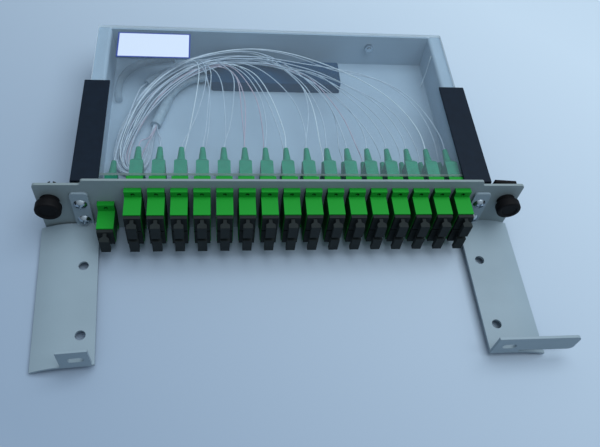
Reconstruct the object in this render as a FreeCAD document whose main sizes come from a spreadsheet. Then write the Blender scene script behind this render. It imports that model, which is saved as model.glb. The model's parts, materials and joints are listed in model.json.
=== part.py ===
"""Rack tray with a 1 x 32 fibre splitter, as a parametric FreeCAD document.

X runs along the front panel, Y into the tray, Z up. The origin lies on the rear face of the
panel, in the middle of its width, level with the underside of the tray. Millimetres.
"""
import FreeCAD, Part
import math
import os
import re
import Sketcher
from FreeCAD import Placement, Rotation, Vector

SIZES = {
    # sheet metal and cover stock
    "tray_sheet": 1.2,
    "panel_sheet": 1.5,
    "bracket_sheet": 1.5,
    "cover_sheet": 2.0,
    "bend_radius": 1.0,
    "fit_gap": 0.1,
    # tray
    "tray_width": 215.8,
    "tray_length": 136.8,
    "tray_height": 26.2,
    "lip_reach": 7.3,
    "flange_reach": 12.6,
    "flange_drop": 2.6,
    "flange_rise": 1.6,
    # front panel
    "ear_reach": 30.1,
    "ear_top": 34.3,
    "panel_bottom": -6.0,
    "panel_top": 38.0,
    "panel_overhang": 3.0,
    "step_width": 3.2,
    "ear_corner": 2.0,
    # adapters
    "columns": 16,
    "first_column_inset": 22.4,
    "last_column_inset": 6.8,
    "input_column_inset": 6.7,
    "port_pitch": 12.7,
    "row_height": 14.6,
    "adapter_width": 9.3,
    "adapter_margin": 6.55,
    "adapter_front": 12.0,
    "adapter_rear": 10.4,
    "flange_thickness": 3.0,
    "flange_overhang": 4.4,
    "flange_hole": 2.2,
    "simplex_overhang": 5.0,
    "window_gap": 0.2,
    "port_width": 7.6,
    "port_height": 9.2,
    "port_depth": 10.5,
    "sleeve_hole": 4.2,
    # dust caps
    "plug_gap": 0.2,
    "plug_depth": 7.0,
    "rim_width": 8.8,
    "rim_height": 11.6,
    "rim_thickness": 2.0,
    "web_width": 2.0,
    "web_length": 2.3,
    "grip_width": 5.2,
    "grip_height": 10.0,
    "grip_flare": 1.2,
    "grip_length": 2.4,
    # connectors
    "connector_width": 7.4,
    "connector_height": 9.0,
    "connector_length": 13.2,
    "connector_inside": 8.0,
    "shoulder_length": 2.2,
    "shoulder_width": 5.2,
    "shoulder_height": 6.0,
    "key_width": 1.8,
    "key_height": 0.6,
    "key_length": 11.0,
    "key_gap": 0.2,
    "boot_length": 10.8,
    "boot_root": 5.2,
    "boot_tip": 3.0,
    # latches
    "latch_offset": 23.0,
    "latch_height": 20.9,
    "latch_hole": 8.2,
    "collar_diameter": 10.6,
    "collar_length": 2.7,
    "barrel_diameter": 8.0,
    "prong_reach": 9.6,
    "prong_tip": 5.4,
    "prong_root": 1.0,
    "prong_slot": 1.6,
    "stem_diameter": 4.0,
    "stem_clearance": 0.06,
    "stem_short": 0.6,
    "knob_diameter": 14.2,
    "knob_length": 5.6,
    "knob_rest_gap": 0.3,
    "knob_round": 1.2,
    "dish_diameter": 9.6,
    "dish_depth": 0.5,
    "retainer_width": 13.6,
    "retainer_height": 12.0,
    "retainer_thickness": 2.0,
    "retainer_hole": 7.4,
    "retainer_back": 6.4,
    "retainer_turn": 5.0,
    # cover and its clips
    "cover_front": 11.8,
    "cover_corner": 1.5,
    "clip_start": 5.4,
    "clip_length": 78.4,
    "clip_wall": 1.2,
    "clip_width_left": 15.2,
    "clip_width_right": 16.6,
    "clip_gap_left": 2.3,
    "clip_gap_right": 3.7,
    "clip_foot_gap": 0.4,
    "clip_round": 0.8,
    # brackets
    "bracket_tab_offset": 6.9,
    "bracket_tab_width": 9.8,
    "bracket_tab_top": 28.2,
    "bracket_tab_corner": 2.2,
    "leg_inset": 0.6,
    "leg_top": -0.2,
    "leg_length": 87.8,
    "leg_flat": 15.5,
    "leg_curl_reach": 17.0,
    "leg_curl_drop": 3.6,
    "leg_hole": 5.5,
    "leg_hole_inset": 7.7,
    "leg_hole_first": 29.0,
    "leg_hole_spacing": 42.0,
    "toe_left": 3.5,
    "toe_right": 0.0,
    "stop_height": 15.8,
    "stop_inset": 1.3,
    "stop_width_left": 15.3,
    "stop_width_right": 46.0,
    "stop_rise": 1.7,
    "stop_corner": 3.0,
    "slot_length": 8.0,
    "slot_height": 4.6,
    "slot_inset": 8.2,
    "slot_centre": 6.8,
    # fasteners
    "screw_upper": 18.9,
    "screw_spacing": 14.7,
    "screw_diameter": 4.0,
    "screw_hole": 4.4,
    "head_diameter": 7.6,
    "head_height": 2.4,
    "recess_span": 4.2,
    "recess_width": 1.0,
    "recess_depth": 1.3,
    "nut_flats": 7.0,
    "nut_height": 3.2,
    "thread_gap": 0.05,
    "thread_out": 0.8,
    "rear_screw_x": 67.0,
    "rear_screw_height": 17.0,
    "rear_screw_diameter": 3.0,
    "rear_screw_hole": 3.4,
    "rear_head_diameter": 5.6,
    "rear_head_height": 1.9,
    "rear_nut_flats": 5.5,
    "rear_nut_height": 2.4,
    # splitter and fibres
    "module_x": 1.0,
    "module_rear_gap": 8.2,
    "module_width": 88.0,
    "module_depth": 22.0,
    "module_height": 8.0,
    "module_round": 1.5,
    "module_gland": 5.6,
    "module_gland_length": 3.0,
    "output_gland": 7.6,
    "input_gland": 15.6,
    "sleeve_diameter": 6.6,
    "tube_diameter": 5.0,
    "loop_diameter": 3.4,
    "fibre_diameter": 0.9,
    "tail_gap": 0.5,
}

doc = FreeCAD.newDocument("splitter_tray")
sheet = doc.addObject("Spreadsheet::Sheet", "sizes")
for row, (alias, number) in enumerate(SIZES.items(), start=1):
    sheet.set(f"A{row}", alias)
    sheet.set(f"B{row}", str(number))
    sheet.setAlias(f"B{row}", alias)
doc.recompute()

FUNCTIONS = {"sin", "cos", "tan", "asin", "atan", "sqrt", "abs", "deg"}
nodes = []


def linked(text):
    """The expression with every size written as a cell of the sheet."""
    def cell(match):
        word = match.group(0)
        return word if word in FUNCTIONS else "sizes." + word
    return re.sub(r"[a-z][a-z_]+", cell, str(text))


def value(text):
    """The number that an expression over the sheet gives now."""
    result = sheet.evalExpression(re.sub(r"sizes\.", "", str(text)))
    return float(getattr(result, "Value", result))


def bind(item, **expressions):
    """Bind properties to the sheet; a double underscore stands for a dot in the path."""
    for path, text in expressions.items():
        item.setExpression(path.replace("__", "."), linked(text))
    return item


def place(item, x="0", y="0", z="0"):
    bind(item, Placement__Base__x=x, Placement__Base__y=y, Placement__Base__z=z)
    return item


def node(item, label):
    """Name the finished object of a sub-part."""
    item.Label = label
    nodes.append(item)
    return item


# ---------------------------------------------------------------- Part primitives and booleans

def box(name, length, width, height, x="0", y="0", z="0"):
    item = doc.addObject("Part::Box", name)
    bind(item, Length=length, Width=width, Height=height)
    return place(item, x, y, z)


AXIS_TURN = {
    "x": Rotation(Vector(0, 1, 0), 90),
    "y": Rotation(Vector(1, 0, 0), -90),
    "z": Rotation(),
}


def cylinder(name, diameter, height, x="0", y="0", z="0", axis="z"):
    """A cylinder that runs along +axis from its place."""
    item = doc.addObject("Part::Cylinder", name)
    item.Placement = Placement(Vector(), AXIS_TURN[axis])
    bind(item, Radius=f"({diameter}) / 2", Height=height)
    return place(item, x, y, z)


def dome(name, width, height, x="0", y="0", z="0", ahead=True):
    """A round head with its flat back at y, bulging towards -Y, or towards +Y if not ahead."""
    item = doc.addObject("Part::Sphere", name)
    item.Placement = Placement(Vector(), Rotation(Vector(1, 0, 0), 90 if ahead else -90))
    radius = f"(({width}) * ({width}) / (8 * {height}) + {height} / 2)"
    sunk = f"({radius} - {height})"
    bind(item, Radius=radius, Angle1=f"asin({sunk} / {radius})")
    return place(item, x, f"{y} + {sunk}" if ahead else f"{y} - {sunk}", z)


def cone(name, start, end, height, x="0", y="0", z="0", axis="z"):
    item = doc.addObject("Part::Cone", name)
    item.Placement = Placement(Vector(), AXIS_TURN[axis])
    bind(item, Radius1=f"({start}) / 2", Radius2=f"({end}) / 2", Height=height)
    return place(item, x, y, z)


def prism(name, flats, height, x="0", y="0", z="0"):
    """A hexagonal prism along +Y, with a flat at its top and bottom."""
    item = doc.addObject("Part::Prism", name)
    item.Polygon = 6
    item.Placement = Placement(Vector(), AXIS_TURN["y"])
    bind(item, Circumradius=f"({flats}) / sqrt(3)", Height=height)
    return place(item, x, y, z)


def fuse(name, *items):
    item = doc.addObject("Part::MultiFuse", name)
    item.Shapes = list(items)
    return item


def cut(name, base, *tools):
    item = doc.addObject("Part::Cut", name)
    item.Base = base
    item.Tool = tools[0] if len(tools) == 1 else fuse(name + "_tools", *tools)
    return item


def compound(name, items):
    item = doc.addObject("Part::Compound", name)
    item.Links = list(items)
    return item


def rounded(name, base, radius, chosen):
    """Fillet the edges for which chosen(edge) is true."""
    doc.recompute()
    item = doc.addObject("Part::Fillet", name)
    item.Base = base
    size = value(radius)
    item.Edges = [(i, size, size) for i, edge in enumerate(base.Shape.Edges, start=1) if chosen(edge)]
    return item


def runs_along(edge, axis):
    """True for a straight edge along axis 0, 1 or 2."""
    if edge.Curve.TypeId != "Part::GeomLine":
        return False
    return abs(abs(edge.Curve.Direction[axis]) - 1) < 1e-6


# ---------------------------------------------------------------- PartDesign bodies

PLANES = {"XY": "XY_Plane", "XZ": "XZ_Plane", "YZ": "YZ_Plane"}


def new_body(name):
    return doc.addObject("PartDesign::Body", name)


def sketch(body, name, plane, loops, offset="0"):
    """A sketch of closed loops on one of the body's origin planes.

    A loop is a list of corners (across, up) or (across, up, radius): with a radius, the edge
    that leaves the corner is an arc, counter-clockwise when the radius is written plain and
    clockwise when it starts with a minus sign. A loop may also be ("circle", across, up, diameter).
    """
    item = body.newObject("Sketcher::SketchObject", name)
    role = PLANES[plane]
    item.AttachmentSupport = [(f, "") for f in body.Origin.OriginFeatures if f.Role == role]
    item.MapMode = "FlatFace"
    bind(item, AttachmentOffset__Base__z=offset)
    for loop in loops:
        if loop[0] == "circle":
            add_circle(item, *loop[1:])
        else:
            add_outline(item, loop)
    return item


def dimension(item, kind, geometry, point, text):
    """A named size of the sketch, bound to the sheet."""
    now = value(text)
    if kind == "Radius":
        index = item.addConstraint(Sketcher.Constraint(kind, geometry, now))
    else:
        index = item.addConstraint(Sketcher.Constraint(kind, -1, 1, geometry, point, now))
    item.setExpression(f"Constraints[{index}]", linked(text))


def add_circle(item, across, up, diameter):
    centre = Vector(value(across), value(up), 0)
    index = item.addGeometry(Part.Circle(centre, Vector(0, 0, 1), value(diameter) / 2))
    dimension(item, "DistanceX", index, 3, across)
    dimension(item, "DistanceY", index, 3, up)
    dimension(item, "Radius", index, 0, f"({diameter}) / 2")


def arc_edge(start, end, radius, clockwise):
    """The short arc from start to end and whether its first point is start."""
    chord = end - start
    middle = (start + end) / 2
    height = math.sqrt(max(radius ** 2 - chord.Length ** 2 / 4, 0.0))
    side = Vector(-chord.y, chord.x, 0).normalize()
    centre = middle - side * height if clockwise else middle + side * height
    first, last = (end, start) if clockwise else (start, end)
    a = math.atan2(first.y - centre.y, first.x - centre.x)
    b = math.atan2(last.y - centre.y, last.x - centre.x)
    return Part.ArcOfCircle(Part.Circle(centre, Vector(0, 0, 1), radius), a, b)


def add_outline(item, corners):
    points = [Vector(value(c[0]), value(c[1]), 0) for c in corners]
    count = len(corners)
    edges = []
    for i, corner in enumerate(corners):
        start, end = points[i], points[(i + 1) % count]
        if len(corner) == 3:
            text = corner[2].lstrip("-")
            clockwise = corner[2].startswith("-")
            index = item.addGeometry(arc_edge(start, end, value(text), clockwise))
            edges.append((index, 2, 1) if clockwise else (index, 1, 2))
            dimension(item, "Radius", index, 0, text)
        else:
            index = item.addGeometry(Part.LineSegment(start, end))
            edges.append((index, 1, 2))
    for i in range(count):
        here, after = edges[i], edges[(i + 1) % count]
        item.addConstraint(Sketcher.Constraint("Coincident", here[0], here[2], after[0], after[1]))
    for i, corner in enumerate(corners):
        dimension(item, "DistanceX", edges[i][0], edges[i][1], corner[0])
        dimension(item, "DistanceY", edges[i][0], edges[i][1], corner[1])


def pad(body, name, profile, length, backwards=False, both=False):
    item = body.newObject("PartDesign::Pad", name)
    item.Profile = profile
    item.Reversed = backwards
    item.Midplane = both
    bind(item, Length=length)
    return item


def pocket(body, name, profile, length, backwards=False, both=False):
    item = body.newObject("PartDesign::Pocket", name)
    item.Profile = profile
    item.Reversed = backwards
    item.Midplane = both
    bind(item, Length=length)
    return item


def body_fillet(body, name, radius, chosen):
    doc.recompute()
    base = body.Tip
    edges = [f"Edge{i}" for i, edge in enumerate(base.Shape.Edges, start=1) if chosen(edge)]
    item = body.newObject("PartDesign::Fillet", name)
    item.Base = (base, edges)
    bind(item, Radius=radius)
    return item


def rectangle(left, low, width, height):
    """The corners of a rectangle from its low left corner and its size."""
    right, high = f"{left} + {width}", f"{low} + {height}"
    return [(left, low), (right, low), (right, high), (left, high)]


# ---------------------------------------------------------------- places shared by several pieces

WALL = "tray_width / 2"
WALL_OUT = "(tray_width / 2 + tray_sheet)"
LIP_OUT = "(tray_width / 2 + tray_sheet + lip_reach)"
FACE = "(-panel_sheet)"
ADAPTER_NOSE = "(-panel_sheet - flange_thickness - adapter_front)"
UPPER_PORT = "(row_height + port_pitch / 2)"
LOWER_PORT = "(row_height - port_pitch / 2)"
COVER_LOW = "tray_height"
COVER_TOP = "(tray_height + cover_sheet)"
SIDES = (("left", "-1"), ("right", "1"))
COLUMNS = round(SIZES["columns"])


MAIN_HALF = "(tray_width / 2 + panel_overhang)"
EAR_HALF = "(tray_width / 2 + ear_reach)"
LATCH_X = "(tray_width / 2 + latch_offset)"
TAB_X = "(tray_width / 2 + bracket_tab_offset)"
LEG_X = "(tray_width / 2 - leg_inset)"
FIRST_COLUMN = "(first_column_inset - tray_width / 2)"
LAST_COLUMN = "(tray_width / 2 - last_column_inset)"
INPUT_COLUMN = "(input_column_inset - tray_width / 2)"
PITCH = "((tray_width - first_column_inset - last_column_inset) / (columns - 1))"
MODULE_FRONT = "(tray_length - tray_sheet - module_rear_gap - module_depth)"


def column_x(index):
    """The middle of output column index, counted from the left."""
    return f"({FIRST_COLUMN} + {index} * {PITCH})"


# ---------------------------------------------------------------- tray and panel

def make_tray():
    body = new_body("Tray")
    lip = "tray_height - tray_sheet"
    section = [
        (f"-{LIP_OUT}", "tray_height"), (f"-{WALL}", "tray_height"),
        (f"-{WALL}", "tray_sheet"), (WALL, "tray_sheet"),
        (WALL, "tray_height"), (LIP_OUT, "tray_height"),
        (LIP_OUT, lip), (WALL_OUT, lip),
        (WALL_OUT, "0"), (f"-{WALL_OUT}", "0"),
        (f"-{WALL_OUT}", lip), (f"-{LIP_OUT}", lip),
    ]
    pad(body, "TrayChannel", sketch(body, "TraySection", "XZ", [section]), "tray_length", True)
    inside, outside = value("bend_radius"), value("bend_radius + tray_sheet")
    wall, height, sheet_thickness = value(WALL), value("tray_height"), value("tray_sheet")
    tight = {(wall, sheet_thickness), (wall + sheet_thickness, height - sheet_thickness)}
    wide = {(wall + sheet_thickness, 0.0), (wall, height)}

    def bend_at(corners):
        def chosen(edge):
            point = edge.Vertexes[0].Point
            at = [math.hypot(abs(point.x) - x, point.z - z) < 1e-4 for x, z in corners]
            return runs_along(edge, 1) and any(at)
        return chosen

    body_fillet(body, "TightBends", "bend_radius", bend_at(tight))
    body_fillet(body, "WideBends", "bend_radius + tray_sheet", bend_at(wide))
    rear = rectangle(f"-{WALL}", "0", "tray_width", "tray_height")
    pad(body, "RearWall", sketch(body, "RearSection", "XZ", [rear], "-tray_length"), "tray_sheet")
    flange_height = "tray_height - flange_drop - flange_rise"
    flanges = [
        rectangle(WALL, "flange_rise", "tray_sheet + flange_reach", flange_height),
        rectangle(f"-{WALL_OUT} - flange_reach", "flange_rise", "tray_sheet + flange_reach",
                  flange_height),
    ]
    pad(body, "FrontFlanges", sketch(body, "FlangeSections", "XZ", flanges), "tray_sheet", True)
    pocket(body, "FlangeHoles", sketch(body, "FlangeDrill", "XZ", screw_circles()), "tray_sheet * 2")
    rear_hole = ("circle", "rear_screw_x", "rear_screw_height", "rear_screw_hole")
    drill = sketch(body, "RearDrill", "XZ", [rear_hole], "-tray_length + tray_sheet * 2")
    pocket(body, "RearHole", drill, "tray_sheet * 3")
    return node(body, "tray")


def screw_circles():
    """The four screw holes that tray, panel and brackets share."""
    holes = []
    for _, side in SIDES:
        for height in ("screw_upper", "screw_upper - screw_spacing"):
            holes.append(("circle", f"{side} * {TAB_X}", height, "screw_hole"))
    return holes


def make_front_panel():
    body = new_body("FrontPanel")
    ear, main = EAR_HALF, MAIN_HALF
    foot, middle = f"({main} + step_width)", f"({main} + step_width / 2)"
    bend = "step_width / 2"
    rise, crest = f"ear_top + {bend}", f"panel_top - {bend}"
    outline = [
        (f"-{ear}", "panel_bottom"), (ear, "panel_bottom"), (ear, "ear_top"),
        (foot, "ear_top", f"-{bend}"), (middle, rise), (middle, crest, bend), (main, "panel_top"),
        (f"-{main}", "panel_top", bend), (f"-{middle}", crest), (f"-{middle}", rise, f"-{bend}"),
        (f"-{foot}", "ear_top"), (f"-{ear}", "ear_top"),
    ]
    pad(body, "PanelBlank", sketch(body, "PanelOutline", "XZ", [outline]), "panel_sheet")
    reach = value(ear)

    def ear_tip(edge):
        return runs_along(edge, 1) and abs(abs(edge.Vertexes[0].X) - reach) < 1e-4

    body_fillet(body, "EarCorners", "ear_corner", ear_tip)
    width = "adapter_width + 2 * window_gap"
    tall = "port_pitch + 2 * adapter_margin + 2 * window_gap"
    short = "2 * adapter_margin + 2 * window_gap"
    window = rectangle(f"{LAST_COLUMN} - ({width}) / 2", f"row_height - ({tall}) / 2", width, tall)
    profile = sketch(body, "OutputWindow", "XZ", [window], "panel_sheet")
    first = pocket(body, "OutputWindows", profile, "panel_sheet * 2")
    doc.recompute()
    row_of = body.newObject("PartDesign::LinearPattern", "WindowRow")
    row_of.Originals = [first]
    row_of.Direction = ([f for f in body.Origin.OriginFeatures if f.Role == "X_Axis"][0], [""])
    row_of.Reversed = True
    bind(row_of, Length=f"(columns - 1) * {PITCH}", Occurrences="columns")
    body.Tip = row_of
    openings = [
        rectangle(f"{INPUT_COLUMN} - ({width}) / 2", f"{LOWER_PORT} - ({short}) / 2", width, short)
    ]
    openings += screw_circles()
    openings += [("circle", f"{side} * {LATCH_X}", "latch_height", "latch_hole") for _, side in SIDES]
    profile = sketch(body, "OtherOpenings", "XZ", openings, "panel_sheet")
    pocket(body, "Openings", profile, "panel_sheet * 2")
    return node(body, "front_panel")


# ---------------------------------------------------------------- cover and clips

def make_cover():
    sheet_of = box("CoverSheet", f"2 * {LIP_OUT}", "tray_length - cover_front", "cover_sheet",
                   f"-{LIP_OUT}", "cover_front", COVER_LOW)
    return node(rounded("Cover", sheet_of, "cover_corner", lambda e: runs_along(e, 2)), "cover")


def make_cover_clip(side_name, side):
    """A U-shaped strip, open towards the middle of the tray; each is pushed on to its own depth."""
    body = new_body("Clip" + side_name.capitalize())
    gap, width = f"clip_gap_{side_name}", f"clip_width_{side_name}"
    out = f"({LIP_OUT} + {gap} + clip_wall)"
    web = f"({LIP_OUT} + {gap})"
    roof = f"({COVER_TOP} + fit_gap)"
    foot = "(tray_height - tray_sheet - fit_gap)"
    foot_end = f"({WALL_OUT} + bend_radius + clip_foot_gap)"
    section = [
        (out, f"{roof} + clip_wall"), (f"{out} - {width}", f"{roof} + clip_wall"),
        (f"{out} - {width}", roof), (web, roof), (web, foot), (foot_end, foot),
        (foot_end, f"{foot} - clip_wall"), (out, f"{foot} - clip_wall"),
    ]
    section = [(f"{side} * ({across})", up) for across, up in section]
    profile = sketch(body, "ClipSection", "XZ", [section], "-clip_start")
    pad(body, "ClipStrip", profile, "clip_length", True)
    reach = value(out)

    def outer_edge(edge):
        return runs_along(edge, 1) and abs(abs(edge.Vertexes[0].X) - reach) < 1e-4

    body_fillet(body, "ClipRound", "clip_round", outer_edge)
    return node(body, f"cover_clip_{side_name}")


# ---------------------------------------------------------------- latches

def make_latch(side_name, side):
    name = side_name.capitalize()
    x, z = f"{side} * {LATCH_X}", "latch_height"
    collar = cylinder("Collar" + name, "collar_diameter", "collar_length",
                      x, f"{FACE} - collar_length", z, "y")
    barrel = cylinder("Barrel" + name, "barrel_diameter", "panel_sheet", x, FACE, z, "y")
    prongs = cone("Prongs" + name, "barrel_diameter", "prong_tip",
                  "prong_reach", x, "0", z, "y")
    bore = cylinder("Bore" + name, "stem_diameter + 2 * stem_clearance",
                    "collar_length + panel_sheet + prong_reach", x, f"{FACE} - collar_length", z, "y")
    slots = []
    for tag, long_way, wide, tall in (("A", "x", "2 * barrel_diameter", "prong_slot"),
                                      ("B", "z", "prong_slot", "2 * barrel_diameter")):
        slots.append(box("Slot" + tag + name, wide, "prong_reach", tall,
                         f"{x} - ({wide}) / 2", "prong_root", f"{z} - ({tall}) / 2"))
    grommet = cut("Grommet" + name, fuse("GrommetSolid" + name, collar, barrel, prongs), bore, *slots)
    node(grommet, f"latch_grommet_{side_name}")

    body = new_body("Plunger" + name)
    place(body, x, f"{FACE} - collar_length - knob_rest_gap", z)
    stem_end = "(collar_length + knob_rest_gap + panel_sheet + prong_reach - stem_short)"
    profile = [
        ("0", "dish_depth - knob_length"), ("dish_diameter / 2 - dish_depth", "dish_depth - knob_length"),
        ("dish_diameter / 2", "-knob_length"), ("knob_diameter / 2", "-knob_length"),
        ("knob_diameter / 2", "0"),
        ("stem_diameter / 2", "0"), ("stem_diameter / 2", stem_end), ("0", stem_end),
    ]
    outline = sketch(body, "KnobProfile", "XY", [profile])
    turned = body.newObject("PartDesign::Revolution", "KnobTurned")
    turned.Profile = outline
    turned.ReferenceAxis = (outline, ["V_Axis"])
    turned.Angle = 360
    rim = value("knob_diameter / 2")

    def knob_rim(edge):
        round_edge = edge.Curve.TypeId == "Part::GeomCircle"
        return round_edge and abs(edge.Curve.Radius - rim) < 1e-4

    body_fillet(body, "KnobRound", "knob_round", knob_rim)
    node(body, f"latch_plunger_{side_name}")


def make_retainer():
    """The square push-on plate on the prongs of the right latch."""
    plate = box("RetainerPlate", "retainer_width", "retainer_thickness", "retainer_height",
                "-retainer_width / 2", "0", "-retainer_height / 2")
    hole = cylinder("RetainerHole", "retainer_hole", "retainer_thickness", axis="y")
    item = cut("Retainer", plate, hole)
    item.Placement = Placement(Vector(), Rotation(Vector(0, 1, 0), 0))
    bind(item, Placement__Rotation__Angle="retainer_turn * 1 deg")
    return node(place(item, LATCH_X, "retainer_back", "latch_height"), "latch_retainer_right")


# ---------------------------------------------------------------- brackets

STOPS = {
    # side: (inset from the leg's inner edge, width, turn of the leg)
    "left": ("stop_inset", "stop_width_left", "toe_left"),
    "right": ("0", "stop_width_right", "-toe_right"),
}


def make_bracket(side_name, side):
    """A leg with a curled outer edge, a tab up the panel and a slotted stop at its front end.

    The leg is drawn straight ahead of the panel and turned about its inner rear corner.
    """
    name = side_name.capitalize()
    inset, stop_width, toe = STOPS[side_name]
    body = new_body("Leg" + name)
    curl = "((leg_curl_reach * leg_curl_reach + leg_curl_drop * leg_curl_drop) / (2 * leg_curl_drop))"
    tip, under = "(leg_flat + leg_curl_reach)", "-bracket_sheet"
    tip_low = (f"({tip} - bracket_sheet * leg_curl_reach / {curl})",
               f"-leg_curl_drop - bracket_sheet * ({curl} - leg_curl_drop) / {curl}")
    over, back = ("-", "") if side == "1" else ("", "-")
    section = [
        ("0", "0"), ("leg_flat", "0", over + curl), (tip, "-leg_curl_drop"),
        tip_low + (f"{back}({curl} - bracket_sheet)",), ("leg_flat", under), ("0", under),
    ]
    section = [(f"{side} * ({corner[0]})",) + corner[1:] for corner in section]
    pad(body, "LegStrip" + name, sketch(body, "LegSection" + name, "XZ", [section]), "leg_length")

    far = f"({inset} + {stop_width})"
    stop = [(inset, under), ("leg_flat", under), ("leg_flat", "0"), (far, "0"),
            (far, "stop_height"), (inset, "stop_height")]
    if side_name == "right":
        stop[2:4] = [("leg_flat", "stop_rise"), (far, "stop_rise")]
    stop = [(f"{side} * ({across})", up) for across, up in stop]
    profile = sketch(body, "StopOutline" + name, "XZ", [stop], "leg_length - bracket_sheet")
    pad(body, "Stop" + name, profile, "bracket_sheet")
    reach, clear = value(far), value("-leg_curl_drop")

    def free_corner(edge):
        point = edge.Vertexes[0].Point
        return runs_along(edge, 1) and abs(abs(point.x) - reach) < 1e-4 and point.z > clear

    if side_name == "right":
        body_fillet(body, "StopCorners" + name, "stop_corner", free_corner)
    holes = [("circle", f"{side} * leg_hole_inset", f"-leg_hole_first - {step} * leg_hole_spacing",
              "leg_hole") for step in range(2)]
    pocket(body, "LegHoles" + name, sketch(body, "LegDrill" + name, "XY", holes), "bracket_sheet * 2")

    straight = "(slot_length - slot_height)"
    slot_x, front = f"{side} * slot_inset", "-leg_length"
    slot = [box("SlotMiddle" + name, straight, "bracket_sheet", "slot_height",
                f"{slot_x} - {straight} / 2", front, "slot_centre - slot_height / 2")]
    for end in ("-1", "1"):
        slot.append(cylinder(f"SlotEnd{name}{len(slot)}", "slot_height", "bracket_sheet",
                             f"{slot_x} + {end} * {straight} / 2", front, "slot_centre", "y"))
    leg = cut("LegSlotted" + name, body, *slot)
    bind(leg, Placement__Rotation__Angle=f"({toe}) * 1 deg")
    place(leg, f"{side} * {LEG_X}", FACE, "leg_top")

    left_edge = f"{side} * {TAB_X} - bracket_tab_width / 2"
    height = "bracket_tab_top - leg_top + bracket_sheet"
    tab = box("Tab" + name, "bracket_tab_width", "bracket_sheet", height,
              left_edge, f"{FACE} - bracket_sheet", "leg_top - bracket_sheet")
    top = value(height)
    tab = rounded("TabRound" + name, tab, "bracket_tab_corner",
                  lambda e: runs_along(e, 1) and e.Vertexes[0].Z > top / 2)
    joined = fuse("Joined" + name, leg, tab)
    fold_at = value("leg_top"), value(f"{FACE} - bracket_sheet")

    def inner_fold(edge):
        point = edge.Vertexes[0].Point
        return runs_along(edge, 0) and math.hypot(point.z - fold_at[0], point.y - fold_at[1]) < 1e-4

    joined = rounded("TabFold" + name, joined, "bend_radius", inner_fold)
    drills = []
    for height in ("screw_upper", "screw_upper - screw_spacing"):
        drills.append(cylinder(f"TabDrill{name}{len(drills)}", "screw_hole", "bracket_sheet",
                               f"{side} * {TAB_X}", f"{FACE} - bracket_sheet", height, "y"))
    return node(cut("Bracket" + name, joined, *drills), f"bracket_{side_name}")


# ---------------------------------------------------------------- screws and nuts

def make_screw(name, x, z, head_back, shank_end, inwards, sizes):
    """A round-head screw along Y with a cross recess; head_back is the face it bears on."""
    diameter, head_wide, head_tall = sizes
    shank = cylinder("Shank" + name, diameter, f"{shank_end} - {head_back}" if inwards
                     else f"{head_back} - {shank_end}", x, head_back if inwards else shank_end, z, "y")
    head = dome("Head" + name, head_wide, head_tall, x, head_back, z, inwards)
    deep = (f"{head_back} - {head_tall}" if inwards
            else f"{head_back} + {head_tall} - recess_depth")
    arms = []
    for tag, across, up in (("A", "recess_span", "recess_width"), ("B", "recess_width", "recess_span")):
        arms.append(box("Recess" + tag + name, across, "recess_depth", up,
                        f"{x} - {across} / 2", deep, f"{z} - {up} / 2"))
    return cut("Screw" + name, fuse("ScrewSolid" + name, shank, head), *arms)


def make_nut(name, x, y, z, flats, height, diameter):
    outside = prism("NutBlank" + name, flats, height, x, y, z)
    hole = cylinder("NutHole" + name, f"{diameter} + 2 * thread_gap", height, x, y, z, "y")
    return cut("Nut" + name, outside, hole)


def make_fasteners():
    screws, nuts = [], []
    shank_end = "(tray_sheet + nut_height + thread_out)"
    size = ("screw_diameter", "head_diameter", "head_height")
    for side_name, side in SIDES:
        for level, height in (("Top", "screw_upper"), ("Low", "(screw_upper - screw_spacing)")):
            name, x = side_name.capitalize() + level, f"{side} * {TAB_X}"
            screws.append(make_screw(name, x, height, f"({FACE} - bracket_sheet)", shank_end,
                                     True, size))
            nuts.append(make_nut(name, x, "tray_sheet", height, "nut_flats", "nut_height",
                                 "screw_diameter"))
    node(compound("BracketScrews", screws), "bracket_screws")
    node(compound("BracketNuts", nuts), "bracket_nuts")
    inner = "(tray_length - tray_sheet)"
    size = ("rear_screw_diameter", "rear_head_diameter", "rear_head_height")
    rear = make_screw("Rear", "rear_screw_x", "rear_screw_height", "tray_length",
                      f"({inner} - rear_nut_height - thread_out)", False, size)
    node(rear, "rear_screw")
    nut = make_nut("Rear", "rear_screw_x", f"{inner} - rear_nut_height", "rear_screw_height",
                   "rear_nut_flats", "rear_nut_height", "rear_screw_diameter")
    node(nut, "rear_nut")


# ---------------------------------------------------------------- adapters, caps and connectors

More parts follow.
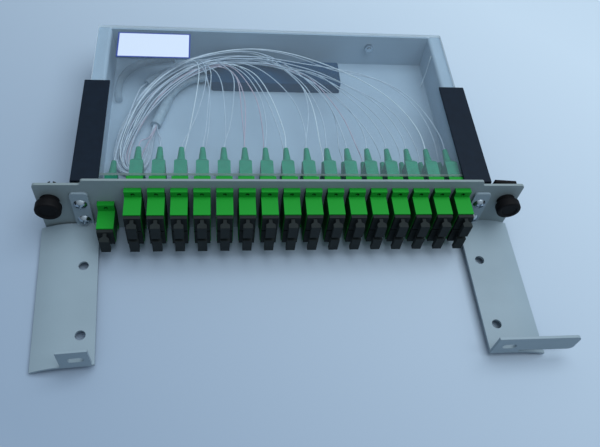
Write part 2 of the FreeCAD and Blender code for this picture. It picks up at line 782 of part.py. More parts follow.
def make_adapter(name, x, ports, overhang):
    """A flanged adapter with ports at both ends, one above the other; ports are their heights."""
    low, high = f"({ports[0]} - adapter_margin)", f"({ports[-1]} + adapter_margin)"
    left = f"{x} - adapter_width / 2"
    length = "flange_thickness + panel_sheet + adapter_front + adapter_rear"
    barrel = box("Barrel" + name, "adapter_width", length, f"{high} - {low}", left, ADAPTER_NOSE, low)
    flange_back = f"({FACE} - flange_thickness)"
    flange = box("Flange" + name, "adapter_width", "flange_thickness",
                 f"{high} - {low} + 2 * {overhang}", left, flange_back, f"{low} - {overhang}")
    tools = []
    for level in (f"{low} - {overhang} / 2", f"{high} + {overhang} / 2"):
        tools.append(cylinder(f"FlangeHole{name}_{len(tools)}", "flange_hole", "flange_thickness",
                              x, flange_back, level, "y"))
    for port in ports:
        for start in (ADAPTER_NOSE, "adapter_rear - port_depth"):
            tools.append(box(f"Port{name}_{len(tools)}", "port_width", "port_depth", "port_height",
                             f"{x} - port_width / 2", start, f"{port} - port_height / 2"))
            tools.append(box(f"KeyWay{name}_{len(tools)}", "key_width + 2 * key_gap", "port_depth",
                             "key_height + key_gap", f"{x} - key_width / 2 - key_gap", start,
                             f"{port} + port_height / 2"))
        tools.append(cylinder(f"Sleeve{name}_{len(tools)}", "sleeve_hole", length,
                              x, ADAPTER_NOSE, port, "y"))
    return cut("Adapter" + name, fuse("AdapterSolid" + name, barrel, flange), *tools)


def taper(name, length, x, y, z, near, far):
    """A frustum along +Y between two rectangles (width, height) that share an axis."""
    item = doc.addObject("Part::Wedge", name)
    bind(item, Ymin="0", Ymax=length)
    for tag, (width, height) in (("", near), ("2", far)):
        bind(item, **{f"X{tag}min": f"-({width}) / 2", f"X{tag}max": f"({width}) / 2",
                      f"Z{tag}min": f"-({height}) / 2", f"Z{tag}max": f"({height}) / 2"})
    return place(item, x, y, z)


def make_cap(name, x, z, label):
    """A dust cap: plug, rim, thin web and a grip that flares from the web."""
    parts, face = [], ADAPTER_NOSE
    for tag, width, length, height, start in (
        ("Plug", "(port_width - 2 * plug_gap)", "plug_depth", "(port_height - 2 * plug_gap)", face),
        ("Rim", "rim_width", "rim_thickness", "rim_height", f"({face} - rim_thickness)"),
        ("Web", "web_width", "web_length + grip_flare", "grip_height",
         f"({face} - rim_thickness - web_length - grip_flare)"),
        ("Grip", "grip_width", "grip_length", "grip_height",
         f"({face} - rim_thickness - web_length - grip_flare - grip_length)"),
    ):
        parts.append(box(tag + name, width, length, height,
                         f"{x} - {width} / 2", start, f"{z} - {height} / 2"))
    parts.append(taper("Flare" + name, "grip_flare", x,
                       f"{face} - rim_thickness - web_length - grip_flare", z,
                       ("grip_width", "grip_height"), ("web_width", "grip_height")))
    return node(fuse("Cap" + name, *parts), label)


def make_connector(name, x, z):
    """A keyed square plug in the rear port, with a sloped shoulder and a tapered boot behind it."""
    inner, outer = "adapter_rear - connector_inside", "adapter_rear + connector_length"
    plug = box("Plug" + name, "connector_width", "connector_inside + connector_length",
               "connector_height", f"{x} - connector_width / 2", inner, f"{z} - connector_height / 2")
    key = box("Key" + name, "key_width", "key_length", "key_height", f"{x} - key_width / 2",
              inner, f"{z} + connector_height / 2")
    shoulder = taper("Shoulder" + name, "shoulder_length", x, outer, z,
                     ("connector_width", "connector_height"), ("shoulder_width", "shoulder_height"))
    boot = cone("Boot" + name, "boot_root", "boot_tip", "boot_length", x,
                f"{outer} + shoulder_length", z, "y")
    return fuse("Connector" + name, plug, key, shoulder, boot)


def make_columns():
    adapters, connectors = [], []
    for index in range(COLUMNS):
        x, tag = column_x(index), f"{index + 1:02d}"
        adapters.append(make_adapter(tag, x, (LOWER_PORT, UPPER_PORT), "flange_overhang"))
        make_cap(tag + "U", x, UPPER_PORT, f"output_cap_{tag}_upper")
        make_cap(tag + "L", x, LOWER_PORT, f"output_cap_{tag}_lower")
        connectors.append(make_connector(tag + "U", x, UPPER_PORT))
        connectors.append(make_connector(tag + "L", x, LOWER_PORT))
    node(compound("OutputAdapters", adapters), "output_adapters")
    node(compound("OutputConnectors", connectors), "output_connectors")
    single = make_adapter("Input", INPUT_COLUMN, (LOWER_PORT,), "simplex_overhang")
    node(single, "input_adapter")
    make_cap("Input", INPUT_COLUMN, LOWER_PORT, "input_cap")
    node(make_connector("Input", INPUT_COLUMN, LOWER_PORT), "input_connector")


# ---------------------------------------------------------------- splitter and fibres

def make_splitter():
    """The splitter block with a gland for each of its two tubes in its left end."""
    left = "(module_x - module_width / 2)"
    block = box("ModuleBlock", "module_width", "module_depth", "module_height",
                left, MODULE_FRONT, "tray_sheet")
    pieces = [rounded("ModuleRounded", block, "module_round", lambda e: runs_along(e, 2))]
    for inset in ("output_gland", "input_gland"):
        pieces.append(cylinder("Gland_" + inset, "module_gland", "module_gland_length",
                               f"{left} - module_gland_length", f"{MODULE_FRONT} + {inset}",
                               "tray_sheet + module_height / 2", "x"))
    return node(fuse("Module", *pieces), "splitter_module")


RUN_SHARE = 0.45    # the part of the shorter run beside a turn that the turn's arc takes up


def spine_of(route):
    """Straight runs through the route's points, joined by tangent arcs, and the least radius."""
    points = [Vector(*point) for point in route]
    edges, start, radii = [], points[0], []
    for before, corner, after in zip(points, points[1:], points[2:]):
        into, out = corner - before, after - corner
        reach = RUN_SHARE * min(into.Length, out.Length)
        into.normalize()
        out.normalize()
        half = into.getAngle(out) / 2
        radii.append(reach / math.tan(half))
        begin, end = corner - into * reach, corner + out * reach
        bulge = radii[-1] * (1 / math.cos(half) - 1)
        middle = corner + (out - into).normalize() * bulge
        edges.append(Part.LineSegment(start, begin).toShape())
        edges.append(Part.Arc(begin, middle, end).toShape())
        start = end
    edges.append(Part.LineSegment(start, points[-1]).toShape())
    return Part.Wire(edges), min(radii, default=math.inf)


def cord_shape(name, route, diameter, sides=0):
    """A cord along the route, round or with a few flat sides; its volume is checked."""
    spine, radius = spine_of(route)
    begin = Vector(*route[0])
    circle = Part.Circle(begin, Vector(*route[1]) - begin, diameter / 2)
    if sides:
        corners = [circle.value(2 * math.pi * step / sides) for step in range(sides)]
        profile = Part.makePolygon(corners + corners[:1])
    else:
        profile = Part.Wire(circle.toShape())
    shape = spine.makePipeShell([profile], True, True)
    expected = Part.Face(profile).Area * spine.Length
    if not shape.isValid() or abs(shape.Volume - expected) > expected / 20:
        raise RuntimeError(f"{name}: volume {shape.Volume:.1f}, expected {expected:.1f}")
    print(f"{name}: {spine.Length:.0f} mm, least radius {radius:.1f} mm")
    return shape


def make_cord(label, shapes):
    item = doc.addObject("Part::Feature", label.title().replace("_", ""))
    item.Shape = shapes[0] if len(shapes) == 1 else Part.makeCompound(shapes)
    return node(item, label)


def make_fibres():
    floor, gland_level = value("tray_sheet"), value("tray_sheet + module_height / 2")
    gland_end = value("module_x - module_width / 2 - module_gland_length")
    output_gland = (gland_end, value(f"{MODULE_FRONT} + output_gland"), gland_level)
    input_gland = (gland_end, value(f"{MODULE_FRONT} + input_gland"), gland_level)
    sleeve_level = floor + value("sleeve_diameter / 2")
    sleeve_front, sleeve_rear = (-78.5, 70.0, sleeve_level), (-71.5, 93.3, sleeve_level)
    tube_front = (-85.7, 107.0, gland_level)

    tube = value("tube_diameter")
    route = [sleeve_rear, (-66.2, 102.6, 4.9), (-59.0, 109.6, gland_level),
             (-52.0, 112.8, gland_level), output_gland]
    make_cord("fanout_sleeve", [cord_shape("sleeve", [sleeve_front, sleeve_rear],
                                           value("sleeve_diameter"))])
    make_cord("output_tube", [cord_shape("output tube", route, tube)])
    route = [tube_front, (-79.2, 114.6, gland_level), (-70.5, 120.4, gland_level),
             (-60.0, 121.8, gland_level), (-52.0, 121.2, gland_level), input_gland]
    make_cord("input_tube", [cord_shape("input tube", route, tube)])

    # the outgoing fibres run together: forward, under the nearest boots, back along the left
    # wall and over the splitter
    loop = [sleeve_front, (-80.8, 58.4, 3.7), (-81.3, 45.7, 3.2), (-85.0, 35.6, 3.0),
            (-93.2, 31.0, 3.0), (-101.4, 36.2, 3.2), (-105.2, 47.5, 4.0), (-103.2, 60.5, 5.6),
            (-97.9, 73.0, 7.6), (-90.6, 86.8, 9.6), (-80.4, 101.5, 11.6), (-66.5, 114.6, 12.4),
            (-49.3, 122.8, 12.8), (-29.0, 126.0, 12.8), (-7.7, 125.4, 12.8), (14.0, 119.5, 12.6),
            (33.7, 107.4, 12.2)]
    make_cord("fibre_loop", [cord_shape("loop", loop, value("loop_diameter"))])

    thick = value("fibre_diameter")
    boot_end = value("adapter_rear + connector_length + shoulder_length + boot_length")
    top = value("loop_diameter / 2 + tail_gap") + thick / 2
    tails = []
    for index in range(COLUMNS):
        x = value(column_x(index))
        leave = along_line(loop[10:], index / (COLUMNS - 1)) + Vector(0, 0, top)
        depth = leave.y - boot_end
        for row, port in ((1, value(UPPER_PORT)), (0, value(LOWER_PORT))):
            level = leave.z + (row * 1.2 + index % 4 * 2.4) * thick
            route = [(leave.x, leave.y, level),
                     (leave.x + 0.62 * (x - leave.x), leave.y - 0.18 * depth, level),
                     (x, boot_end + 0.42 * depth, 0.6 * level + 0.4 * port),
                     (x, boot_end, port)]
            tails.append(cord_shape(f"tail {index + 1}", route, thick, sides=4))
    make_cord("fibre_tails", tails)

    route = [(value(INPUT_COLUMN), boot_end, value(LOWER_PORT)), (-98.6, 52.5, 11.0),
             (-94.7, 67.5, 13.0), (-91.2, 82.0, 14.6), (-88.6, 94.0, 13.6), tube_front]
    make_cord("input_fibre", [cord_shape("input fibre", route, thick, sides=8)])


def along_line(places, share):
    """The point at a share of the way along a line of points, each step counting alike."""
    points = [Vector(*place) for place in places]
    reach = share * (len(points) - 1)
    step = min(int(reach), len(points) - 2)
    return points[step] + (points[step + 1] - points[step]) * (reach - step)


# ---------------------------------------------------------------- the whole part

make_tray()
make_front_panel()
make_cover()
for side_name, side in SIDES:
    make_cover_clip(side_name, side)
    make_latch(side_name, side)
    make_bracket(side_name, side)
make_retainer()
make_fasteners()
make_columns()
make_splitter()
make_fibres()
doc.recompute()

for item in doc.Objects:
    if "Invalid" in item.State or "Error" in item.State:
        raise RuntimeError(f"{item.Label} failed: {item.State}")
for item in nodes:
    if item.Shape.isNull() or not item.Shape.isValid():
        raise RuntimeError(f"{item.Label} has no valid shape")

os.makedirs("parts", exist_ok=True)
for item in nodes:
    item.Shape.exportStep(f"parts/{item.Label}.step")
    print(f"{item.Label}: {len(item.Shape.Solids)} solid(s), {item.Shape.Volume:.0f} mm3")
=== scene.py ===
"""Looks of the rack tray with a fibre splitter. Metres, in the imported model's frame."""
import json
import math
import random

import bpy
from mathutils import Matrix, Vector


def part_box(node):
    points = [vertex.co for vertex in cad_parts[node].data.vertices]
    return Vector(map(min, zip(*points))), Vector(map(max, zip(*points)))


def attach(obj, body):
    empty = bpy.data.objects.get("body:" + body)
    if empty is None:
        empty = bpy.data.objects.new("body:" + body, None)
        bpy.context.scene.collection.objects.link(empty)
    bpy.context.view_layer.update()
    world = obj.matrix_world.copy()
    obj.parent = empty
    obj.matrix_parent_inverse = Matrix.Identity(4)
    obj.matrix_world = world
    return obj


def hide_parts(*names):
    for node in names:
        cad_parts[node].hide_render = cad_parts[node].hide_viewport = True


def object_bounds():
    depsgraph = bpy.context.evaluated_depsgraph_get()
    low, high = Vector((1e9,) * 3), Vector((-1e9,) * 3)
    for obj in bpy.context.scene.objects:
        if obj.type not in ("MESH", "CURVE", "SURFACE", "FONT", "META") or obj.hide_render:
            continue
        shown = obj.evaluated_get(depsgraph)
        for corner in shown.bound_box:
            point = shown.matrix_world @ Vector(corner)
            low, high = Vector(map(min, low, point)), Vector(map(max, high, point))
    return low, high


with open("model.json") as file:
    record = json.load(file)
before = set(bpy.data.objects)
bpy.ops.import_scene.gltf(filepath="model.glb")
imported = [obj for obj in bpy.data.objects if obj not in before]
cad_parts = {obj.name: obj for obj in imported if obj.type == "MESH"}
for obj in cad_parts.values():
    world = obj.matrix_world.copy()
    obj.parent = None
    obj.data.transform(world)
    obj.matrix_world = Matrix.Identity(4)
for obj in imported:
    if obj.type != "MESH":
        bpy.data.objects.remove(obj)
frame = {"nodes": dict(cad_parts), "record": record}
cad_low, cad_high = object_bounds()
scene = bpy.context.scene

MM = 0.001
BODY = "tray_body"

# ------------------------------------------------------------------ materials


class Shader:
    """A material under construction: its nodes, links and surface shader."""

    def __init__(self, name, colour, roughness, metallic=0.0, **inputs):
        self.material = bpy.data.materials.new(name)
        self.material.use_nodes = True
        self.nodes = self.material.node_tree.nodes
        self.links = self.material.node_tree.links
        self.surface = self.nodes["Principled BSDF"]
        self.set("Base Color", (*colour, 1.0))
        self.set("Roughness", roughness)
        self.set("Metallic", metallic)
        for key, number in inputs.items():
            self.set(key.replace("_", " "), number)
        self.place = self.add("ShaderNodeTexCoord").outputs["Object"]
        self.normal = None

    def set(self, socket, number):
        self.surface.inputs[socket].default_value = number

    def add(self, kind, **settings):
        node = self.nodes.new(kind)
        for key, setting in settings.items():
            setattr(node, key, setting)
        return node

    def noise(self, size, detail=2.0):
        """Noise whose features are about size metres across."""
        noise = self.add("ShaderNodeTexNoise")
        noise.inputs["Scale"].default_value = 1.0 / size
        noise.inputs["Detail"].default_value = detail
        self.links.new(self.place, noise.inputs["Vector"])
        return noise.outputs["Fac"]

    def components(self, vector):
        """The X, Y and Z of a vector, by name."""
        node = self.add("ShaderNodeSeparateXYZ")
        self.links.new(vector, node.inputs["Vector"])
        return node.outputs

    def compute(self, operation, first, second=None):
        """The operation on one socket, or on a socket and a socket or number."""
        node = self.add("ShaderNodeMath", operation=operation)
        self.links.new(first, node.inputs[0])
        if isinstance(second, float):
            node.inputs[1].default_value = second
        elif second is not None:
            self.links.new(second, node.inputs[1])
        return node.outputs[0]

    def spread(self, factor, low, high, start=0.0, end=1.0):
        """From low to high, as the factor goes from start to end."""
        node = self.add("ShaderNodeMapRange")
        node.inputs["From Min"].default_value = start
        node.inputs["From Max"].default_value = end
        node.inputs["To Min"].default_value = low
        node.inputs["To Max"].default_value = high
        self.links.new(factor, node.inputs["Value"])
        return node.outputs["Result"]

    def facing(self, axis):
        """How squarely a face looks along the axis, either way."""
        normal = self.add("ShaderNodeNewGeometry").outputs["True Normal"]
        return self.compute("ABSOLUTE", self.components(normal)[axis])

    def vary(self, factor, first, last, start=0.3, end=0.7):
        """The colour runs from first to last, as the factor goes from start to end."""
        ramp = self.add("ShaderNodeValToRGB")
        stops = zip(ramp.color_ramp.elements, (start, end), (first, last))
        for stop, position, colour in stops:
            stop.position = position
            stop.color = (*colour, 1.0)
        self.links.new(factor, ramp.inputs["Fac"])
        self.links.new(ramp.outputs["Color"], self.surface.inputs["Base Color"])
        return self

    def rough(self, factor, low, high):
        """The roughness runs between two levels with the factor."""
        self.links.new(self.spread(factor, low, high), self.surface.inputs["Roughness"])
        return self

    def soften(self, radius):
        """Edges catch the light as if rounded to the radius."""
        bevel = self.add("ShaderNodeBevel", samples=4)
        bevel.inputs["Radius"].default_value = radius
        self.normal = bevel.outputs["Normal"]
        self.links.new(self.normal, self.surface.inputs["Normal"])
        return self

    def bump(self, factor, height, strength):
        """The factor raises the surface by up to the height."""
        bump = self.add("ShaderNodeBump")
        bump.inputs["Distance"].default_value = height
        bump.inputs["Strength"].default_value = strength
        self.links.new(factor, bump.inputs["Height"])
        if self.normal:
            self.links.new(self.normal, bump.inputs["Normal"])
        self.normal = bump.outputs["Normal"]
        self.links.new(self.normal, self.surface.inputs["Normal"])
        return self

    def mould_skin(self, roughness):
        """The uneven shine and fine grain of moulded plastic."""
        self.rough(self.noise(2 * MM), roughness - 0.06, roughness + 0.08)
        return self.bump(self.noise(0.3 * MM, detail=1.0), height=0.015 * MM, strength=0.6)


def shade(colour, factor):
    """The colour made darker or lighter."""
    return tuple(min(1.0, channel * factor) for channel in colour)


def painted_metal(name, colour):
    """A powder coat: fine orange peel, a slow drift of shade, rounded folded edges."""
    made = Shader(name, colour, roughness=0.5, Specular_IOR_Level=0.3)
    made.soften(0.3 * MM)
    made.vary(made.noise(35 * MM), shade(colour, 0.95), shade(colour, 1.04))
    made.rough(made.noise(6 * MM), 0.44, 0.58)
    return made.bump(made.noise(0.5 * MM, detail=1.0), height=0.02 * MM, strength=0.5).material


def moulded(name, colour, roughness, rounding=0.25, **inputs):
    """Moulded plastic: a little mottle, fine grain, and edges rounded by so many millimetres."""
    made = Shader(name, colour, roughness, **inputs)
    made.soften(rounding * MM)
    made.vary(made.noise(4 * MM), shade(colour, 0.9), shade(colour, 1.1))
    return made.mould_skin(roughness).material


def adapter_plastic(name):
    """Green plastic, with painted shade on its flanks: faces that look along X are darkened to
    stand in for the deep shadow in the narrow gaps between adapters.
    """
    roughness = 0.5
    made = Shader(name, GREEN, roughness, Specular_IOR_Level=0.15)
    made.soften(0.15 * MM)
    # painted shade: the flanks, which look along X, take a darker green in place of the shadow
    # between neighbouring adapters
    made.vary(made.facing("X"), GREEN, SHADED_FLANK_GREEN)
    return made.mould_skin(roughness).material


def plated(name):
    """Zinc-plated steel: bluish, a little uneven in its shine."""
    made = Shader(name, ZINC, roughness=0.24, metallic=1.0)
    return made.rough(made.noise(3 * MM), 0.18, 0.3).material


def clear_sheet(name):
    """Clear acrylic: a slight haze on its faces that is partly painted reflection of the sky, and
    cut edges painted pale as a painted glow.
    """
    made = Shader(name, HAZE_AND_SKY_REFLECTION, roughness=0.12, IOR=1.49)
    level = made.facing("Z")
    opacity = made.spread(level, EDGE_OPACITY, FACE_OPACITY)
    made.links.new(opacity, made.surface.inputs["Alpha"])
    # painted light: the cut edges take a pale painted glow, and the faces a haze that partly stands
    # in for reflected sky
    made.vary(level, PAINTED_EDGE_GLOW, HAZE_AND_SKY_REFLECTION)
    return made.rough(made.noise(20 * MM), 0.08, 0.18).material


def label_sheet(middle, half_width, half_depth):
    """White up to the half width and half depth from the middle, and blue past them."""
    made = Shader("label_sheet", LABEL, roughness=0.35)
    place = made.components(made.place)
    past = []
    for axis, centre, half in (("X", middle.x, half_width), ("Y", middle.y, half_depth)):
        away = made.compute("ABSOLUTE", made.compute("SUBTRACT", place[axis], centre))
        past.append(made.compute("GREATER_THAN", away, half))
    mix = made.add("ShaderNodeMix", data_type="RGBA")
    mix.inputs["A"].default_value = (*LABEL, 1.0)
    mix.inputs["B"].default_value = (*LABEL_EDGE, 1.0)
    made.links.new(made.compute("MAXIMUM", *past), mix.inputs["Factor"])
    made.links.new(mix.outputs["Result"], made.surface.inputs["Base Color"])
    return made.material


TRAY = (0.285, 0.395, 0.50)
PANEL = (0.20, 0.255, 0.275)
BRACKET = (0.235, 0.31, 0.365)
GREEN = (0.007, 0.25, 0.022)
# painted shade: the darker green on the adapters' flanks stands in for the shadow in the gaps
# between them
SHADED_FLANK_GREEN = (0.004, 0.07, 0.014)
BOOT_GREEN = (0.012, 0.20, 0.115)
BLACK = (0.004, 0.004, 0.005)
CAP_BLACK = (0.012, 0.017, 0.018)
CLIP_BLACK = (0.0045, 0.0105, 0.021)
MODULE = (0.0015, 0.033, 0.088)
FIBRE = (0.36, 0.47, 0.58)
BRIGHT = (0.50, 0.63, 0.72)
PINK = (0.38, 0.36, 0.46)
TUBE = (0.30, 0.42, 0.52)
ZINC = (0.42, 0.49, 0.55)
# the cover's face haze, partly painted reflection of the sky; the next colour is a painted glow on
# its cut edges
HAZE_AND_SKY_REFLECTION = (0.42, 0.54, 0.66)
PAINTED_EDGE_GLOW = (0.85, 0.95, 1.0)
LABEL = (0.66, 0.74, 0.88)
LABEL_EDGE = (0.03, 0.06, 0.32)
# painted light: the floor's colour runs from painted shade at the front left to painted light at
# the rear right
FLOOR_PAINTED_SHADE = (0.26, 0.34, 0.45)
FLOOR_PAINTED_LIGHT = (0.52, 0.62, 0.72)
EDGE_OPACITY = 0.75
FACE_OPACITY = 0.06

MATERIALS = {
    "tray_paint": painted_metal("tray_paint", TRAY),
    "panel_paint": painted_metal("panel_paint", PANEL),
    "bracket_paint": painted_metal("bracket_paint", BRACKET),
    "clear_cover": clear_sheet("clear_cover"),
    "clip_black": moulded("clip_black", CLIP_BLACK, 0.55, rounding=0.5, Specular_IOR_Level=0.12),
    "black_plastic": moulded("black_plastic", BLACK, 0.6, rounding=0.3, Specular_IOR_Level=0.1),
    "cap_black": moulded("cap_black", CAP_BLACK, 0.65, rounding=0.2, Specular_IOR_Level=0.15),
    "adapter_green": adapter_plastic("adapter_green"),
    "connector_green": moulded("connector_green", BOOT_GREEN, 0.55, rounding=0.2,
                               Specular_IOR_Level=0.15),
    "plated_steel": plated("plated_steel"),
    "module_grey": moulded("module_grey", MODULE, 0.65, rounding=0.5, Specular_IOR_Level=0.12),
    "clear_tube": moulded("clear_tube", TUBE, 0.3, Alpha=0.7),
    "fibre_white": moulded("fibre_white", FIBRE, 0.4),
}


def dress_nodes():
    """Give every CAD node the material of its slot in the record."""
    for part in frame["record"]["subparts"]:
        slots = frame["nodes"][part["node"]].material_slots
        for slot in slots:
            slot.link = "OBJECT"
            slot.material = MATERIALS[part["material_slot"]]


# ------------------------------------------------------------------ pieces


def curve_piece(name, routes, radius, material, body=BODY):
    """One curve object of NURBS strands, each a list of control points in metres."""
    data = bpy.data.curves.new(name, "CURVE")
    data.dimensions = "3D"
    data.bevel_depth = radius
    data.bevel_resolution = 2
    data.resolution_u = 10
    data.use_fill_caps = True
    for route in routes:
        spline = data.splines.new("NURBS")
        spline.points.add(len(route) - 1)
        for point, place in zip(spline.points, route):
            point.co = (*place, 1.0)
        spline.order_u = 4
        spline.use_endpoint_u = True
    piece = bpy.data.objects.new(name, data)
    scene.collection.objects.link(piece)
    data.materials.append(material)
    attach(piece, body)
    return piece


def millimetres(points):
    """Points given in millimetres, in metres."""
    return [Vector(point) * MM for point in points]


# The bundle's way: out of the sleeve, under the nearest boots, along the left wall and over
# the splitter.
LOOP = millimetres([
    (-78.5, 70.0, 4.5), (-80.8, 58.4, 3.7), (-81.3, 45.7, 3.2), (-85.0, 35.6, 3.0),
    (-92.0, 31.5, 3.0), (-97.5, 37.0, 3.2), (-98.5, 47.5, 4.0), (-95.5, 60.5, 5.6),
    (-90.5, 73.0, 7.6), (-84.3, 86.0, 9.6), (-75.4, 99.6, 11.6), (-63.2, 111.6, 12.4),
    (-47.5, 120.8, 12.8), (-29.0, 126.0, 12.8), (-7.7, 125.4, 12.8), (14.0, 119.5, 12.6),
    (33.7, 107.4, 12.2),
])
SHARED = 10            # loop points that all strands follow, but for the two cases below
NEAR_COLUMNS = 2       # the strands of the first columns leave the bundle at its first point
TOP_FOLLOWS = 5        # loop points that the top strand follows

# Where the strands of each column leave the bundle, and the points they fall through: the
# upper connector's strand, then the lower's.
FALLS = [
    [[(-78, 66, 6.5), (-79, 54, 11), (-83, 45, 17)],
     [(-78, 66, 6.5), (-80, 55, 9), (-84, 44, 13)]],
    [[(-78, 66, 6.5), (-76, 54, 11), (-73.5, 45, 17)],
     [(-77, 66, 6.5), (-74, 56, 9), (-72, 44, 13)]],
    [[(-50, 122, 15.5), (-46, 106, 17), (-48, 78, 18), (-56, 48, 20)],
     [(-53, 122, 15), (-49, 106, 17), (-51, 84, 18), (-58, 49, 15)]],
    [[(-47, 119, 15.5), (-43, 104, 17), (-45, 84, 18), (-46, 49, 20)],
     [(-51, 120, 15), (-45, 99, 17), (-45, 75, 18), (-46, 48, 15)]],
    [[(-36, 117, 15.5), (-29, 103, 17), (-29, 86, 18), (-33, 50, 20)],
     [(-43, 116, 15), (-37, 99, 17), (-36, 82, 18), (-34, 48, 15)]],
    [[(-29, 115, 15.5), (-22, 96, 17), (-21, 75, 18), (-21, 49, 20)],
     [(-30, 114, 15), (-24, 98, 17), (-25, 72, 18), (-23, 47, 15)]],
    [[(-25, 115, 15.5), (-16, 98, 17), (-11, 79, 18), (-9, 49, 20)],
     [(-28, 115, 15), (-18, 98, 17), (-13, 79, 18), (-10, 47, 15)]],
    [[(-21, 116, 15.5), (-9, 98, 17), (-1, 74, 18), (2, 49, 20)],
     [(-25, 117, 15), (-13, 100, 17), (-6, 77, 18), (1, 47, 15)]],
    [[(-12, 114, 15.5), (1, 100, 17), (13, 79, 18), (16, 49, 20)],
     [(10, 109, 15), (17, 92, 17), (18, 71, 18), (16, 48, 15)]],
    [[(15, 106, 15.5), (23, 90, 17), (28, 67, 18), (28, 47, 20)],
     [(13, 105, 15), (19, 90, 17), (24, 69, 18), (25, 46, 15)]],
    [[(20, 105, 15.5), (29, 90, 17), (35, 68, 18), (39, 46, 20)],
     [(18, 107, 15), (32, 85, 17), (38, 64, 18), (36, 45, 15)]],
    [[(24, 107, 15.5), (37, 89, 17), (48, 69, 18), (52, 47, 20)],
     [(22, 109, 15), (34, 87, 17), (42, 64, 18), (48, 45, 15)]],
    [[(27, 111, 15.5), (43, 92, 17), (58, 72, 18), (64, 47, 20)],
     [(24, 105, 15), (40, 85, 17), (53, 63, 18), (62, 45, 15)]],
    [[(32, 111, 15.5), (49, 96, 17), (67, 79, 18), (76, 48, 20)],
     [(30, 107, 15), (47, 90, 17), (65, 66, 18), (74, 45, 15)]],
    [None,             # TOP_STRAND
     [(34, 106, 15), (56, 91, 17), (78, 72, 18), (86, 45, 15)]],
    [[(41, 112, 15.5), (68, 106, 17), (92, 84, 18), (101, 50, 20)],
     [(41, 113, 15), (71, 104, 17), (93, 77, 18), (99, 47, 15)]],
]

# One strand comes up beside the input boot and runs over all the others.
TOP_STRAND = millimetres([
    (-100, 41, 7), (-96, 58, 13), (-88, 80, 17), (-76, 100, 18), (-60, 115, 18.5),
    (-40, 125, 18.5), (-14, 130, 18.5), (10, 126, 18.5), (32, 118, 17), (50, 109, 16),
    (70, 92, 17), (84, 70, 18), (89, 50, 20),
])
TOP_COLUMN = 14        # counted from 0
# A loose end stands up by the right wall.
STRAY = millimetres([(104, 112, 3), (106, 115, 9), (106.6, 116, 15), (106.8, 118, 25.5)])
# An empty tube lies bent round the rear left corner.
SPARE_TUBE = millimetres([
    (-103, 92, 3.9), (-105, 104, 3.9), (-102, 117, 3.9), (-94, 127, 3.9), (-81, 132, 3.9),
    (-68, 133, 3.9),
])
TUBE_RADIUS = 2.5 * MM
PINK_STRANDS = 6
BRIGHT_STRANDS = 3     # besides the top strand and the stray end
BOOT_RUN = 5 * MM      # a strand comes straight into its boot over this length
BOOT_SINK = 1 * MM     # and ends this deep in it
COLUMN_REACH = 8 * MM  # a strand follows the loop to this far short of its fall

# How far strands stray from the lines above, in millimetres: where the bundle begins, and how
# much further once it has opened out.
START_SWAY, OPEN_SWAY = 0.9, 6.6
START_LIFT, OPEN_LIFT = 0.8, 3.4
OPEN_SAG = 1.0
WANDER = 2.0
FALL_SHIFT = 0.8       # a whole fall, to either side
FALL_ACROSS = 1.1      # each of its points
FALL_ALONG = 2.5

CONNECTOR_HALF = 7.4 * MM / 2
BOOT_AXIS = 4.5 * MM   # from a connector's lower face, and from its upper face under the key
KEY = 0.6 * MM
COLUMNS = 16
FIBRE_RADIUS = 0.33 * MM


def boot_tips():
    """The free ends of the output connectors' boots, by column and row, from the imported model."""
    low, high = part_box("output_connectors")
    first, last = low.x + CONNECTOR_HALF, high.x - CONNECTOR_HALF
    rows = (low.z + BOOT_AXIS, high.z - KEY - BOOT_AXIS)
    for column in range(COLUMNS):
        x = first + (last - first) * column / (COLUMNS - 1)
        for row, level in enumerate(rows):
            yield column, row, Vector((x, high.y, level))


def beside(points, index):
    """The level direction across a line of points, to its left."""
    run = points[min(index + 1, len(points) - 1)] - points[max(index - 1, 0)]
    return Vector((-run.y, run.x, 0)).normalized()


def along_loop(count, dice):
    """A strand's way along the first points of the loop, a little off its middle."""
    spread = dice.uniform(-1.0, 1.0)
    lift = dice.uniform(0.0, 1.0)
    way = []
    for index, point in enumerate(LOOP[:count]):
        wide = min(1.0, index / SHARED)
        sway = spread * (START_SWAY + OPEN_SWAY * wide) + dice.uniform(-WANDER, WANDER) * wide
        rise = lift * (START_LIFT + OPEN_LIFT * wide) - OPEN_SAG * wide
        way.append(point + beside(LOOP, index) * sway * MM + Vector((0, 0, rise * MM)))
    return way


def fibre_routes(dice):
    """A route for each output fibre: round the loop, off it near its column, down to its boot."""
    for column, row, tip in boot_tips():
        if column == TOP_COLUMN and row:
            way = along_loop(TOP_FOLLOWS, dice) + TOP_STRAND
        else:
            fall = millimetres(FALLS[column][1 - row])
            short = fall[0].x - COLUMN_REACH
            follows = SHARED + sum(point.x < short for point in LOOP[SHARED:])
            way = along_loop(1 if column < NEAR_COLUMNS else follows, dice)
            shift = dice.uniform(-FALL_SHIFT, FALL_SHIFT)
            for point in fall:
                across = shift + dice.uniform(-FALL_ACROSS, FALL_ACROSS)
                along = dice.uniform(-FALL_ALONG, FALL_ALONG)
                way.append(point + Vector((across, along, 0)) * MM)
        way.append(tip + Vector((0, BOOT_RUN, 0)))
        way.append(tip - Vector((0, BOOT_SINK, 0)))
        yield way


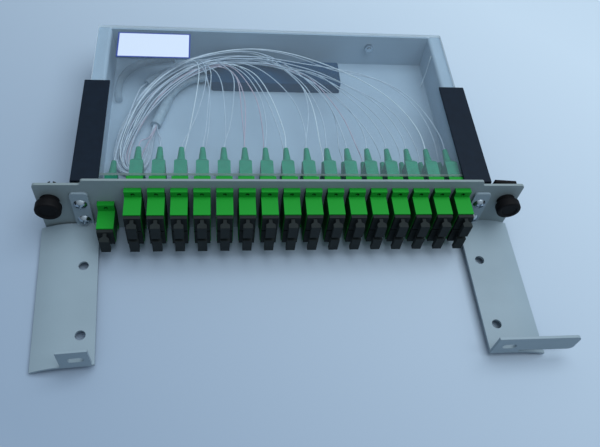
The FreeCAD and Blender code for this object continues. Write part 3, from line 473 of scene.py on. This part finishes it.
def add_fibres():
    """The strands in three shades in place of the CAD's bundle and tails, and the spare tube."""
    dice = random.Random(5)
    routes = list(fibre_routes(dice))
    top = routes.pop(2 * TOP_COLUMN + 1)
    dice.shuffle(routes)
    pink = moulded("fibre_pink", PINK, 0.4)
    bright = moulded("fibre_bright", BRIGHT, 0.35)
    others = PINK_STRANDS + BRIGHT_STRANDS
    white = curve_piece("fibre_strands", routes[others:], FIBRE_RADIUS,
                        MATERIALS["fibre_white"])
    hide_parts("fibre_loop", "fibre_tails")
    curve_piece("fibre_strands_pink", routes[:PINK_STRANDS], FIBRE_RADIUS, pink)
    curve_piece("fibre_strands_bright", [top, STRAY] + routes[PINK_STRANDS:others], FIBRE_RADIUS,
                bright)
    faint = moulded("spare_tube", TUBE, 0.3, Alpha=0.3)
    curve_piece("spare_tube", [SPARE_TUBE], TUBE_RADIUS, faint)


def add_label():
    """A bare white plate with a blue border, on the cover's rear left."""
    low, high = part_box("cover")
    width, depth, border = 46.5 * MM, 23.5 * MM, 0.9 * MM
    from_left, from_rear, gap = 13.3 * MM, 6.8 * MM, 0.05 * MM
    corner = Vector((low.x + from_left, high.y - from_rear, high.z + gap))
    middle = corner + Vector((width / 2, -depth / 2, 0))
    sheet = label_sheet(middle, width / 2 - border, depth / 2 - border)
    mesh = bpy.data.meshes.new("label_plate")
    corners = [(0, 0), (width, 0), (width, -depth), (0, -depth)]
    thick = 0.12 * MM
    points = [corner + Vector((x, y, z)) for z in (0, thick) for x, y in corners]
    faces = [(0, 1, 2, 3), (7, 6, 5, 4)]
    faces += [(i, i + 4, (i + 1) % 4 + 4, (i + 1) % 4) for i in range(4)]
    mesh.from_pydata(points, [], faces)
    mesh.materials.append(sheet)
    label = bpy.data.objects.new("label_plate", mesh)
    scene.collection.objects.link(label)
    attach(label, BODY)


# ------------------------------------------------------------------ surroundings


def add_floor():
    """The pale surface that the tray lies on, with painted light: paler towards the rear right,
    with painted shade towards the front left.
    """
    reach = 3.0
    mesh = bpy.data.meshes.new("floor")
    corners = [(-reach, -reach), (reach, -reach), (reach, reach), (-reach, reach)]
    mesh.from_pydata([(x, y, cad_low.z) for x, y in corners], [], [(0, 1, 2, 3)])
    floor = bpy.data.objects.new("floor", mesh)
    scene.collection.objects.link(floor)
    made = Shader("floor", FLOOR_PAINTED_SHADE, roughness=0.7, Specular_IOR_Level=0.2)
    place = made.components(made.place)
    # painted light: paler towards the rear right and darker towards the front left, in place of the
    # light's fall-off across the floor
    far = made.spread(made.compute("ADD", place["X"], place["Y"]), 0.0, 1.0, start=-0.25, end=0.40)
    made.vary(far, FLOOR_PAINTED_SHADE, FLOOR_PAINTED_LIGHT, start=0.0, end=1.0)
    made.bump(made.noise(3 * MM), height=0.03 * MM, strength=0.3)
    mesh.materials.append(made.material)


def add_light():
    """A bluish sky and one large window high overhead, a little to the right."""
    world = bpy.data.worlds.new("sky")
    scene.world = world
    world.use_nodes = True
    nodes, links = world.node_tree.nodes, world.node_tree.links
    sky = nodes["Background"]
    sky.inputs["Color"].default_value = (0.78, 0.90, 1.0, 1.0)
    # the sky is brighter from above and from the right
    place = nodes.new("ShaderNodeSeparateXYZ")
    links.new(nodes.new("ShaderNodeTexCoord").outputs["Generated"], place.inputs["Vector"])
    towards = nodes.new("ShaderNodeMath")
    towards.operation = "MULTIPLY_ADD"
    links.new(place.outputs["X"], towards.inputs[0])
    towards.inputs[1].default_value = 0.5
    links.new(place.outputs["Z"], towards.inputs[2])
    spread = nodes.new("ShaderNodeMapRange")
    spread.inputs["From Min"].default_value = -0.5
    spread.inputs["From Max"].default_value = 1.1
    spread.inputs["To Min"].default_value = 0.18
    spread.inputs["To Max"].default_value = 0.68
    links.new(towards.outputs[0], spread.inputs["Value"])
    links.new(spread.outputs["Result"], sky.inputs["Strength"])
    lamp = bpy.data.lights.new("window", "AREA")
    lamp.size = 1.1
    lamp.energy = 11.6
    lamp.color = (0.92, 0.97, 1.0)
    window = bpy.data.objects.new("window", lamp)
    scene.collection.objects.link(window)
    window.location = (0.34, 0.02, 1.12)
    window.rotation_mode = "QUATERNION"
    window.rotation_quaternion = (-window.location).to_track_quat("-Z", "Y")


def add_camera():
    """The photograph's camera, as fitted to the panel, the tray and the adapters."""
    lens = bpy.data.cameras.new("camera")
    lens.sensor_width = 36
    lens.lens = 39.905
    lens.clip_start = 0.01
    camera = bpy.data.objects.new("camera", lens)
    camera.location = (-0.04116, -0.22754, 0.32469)
    camera.rotation_euler = [math.radians(turn) for turn in (34.840, -5.805, -4.413)]
    scene.collection.objects.link(camera)
    scene.camera = camera


scene.view_settings.view_transform = "Standard"
dress_nodes()
add_fibres()
add_label()
add_floor()
add_light()
add_camera()
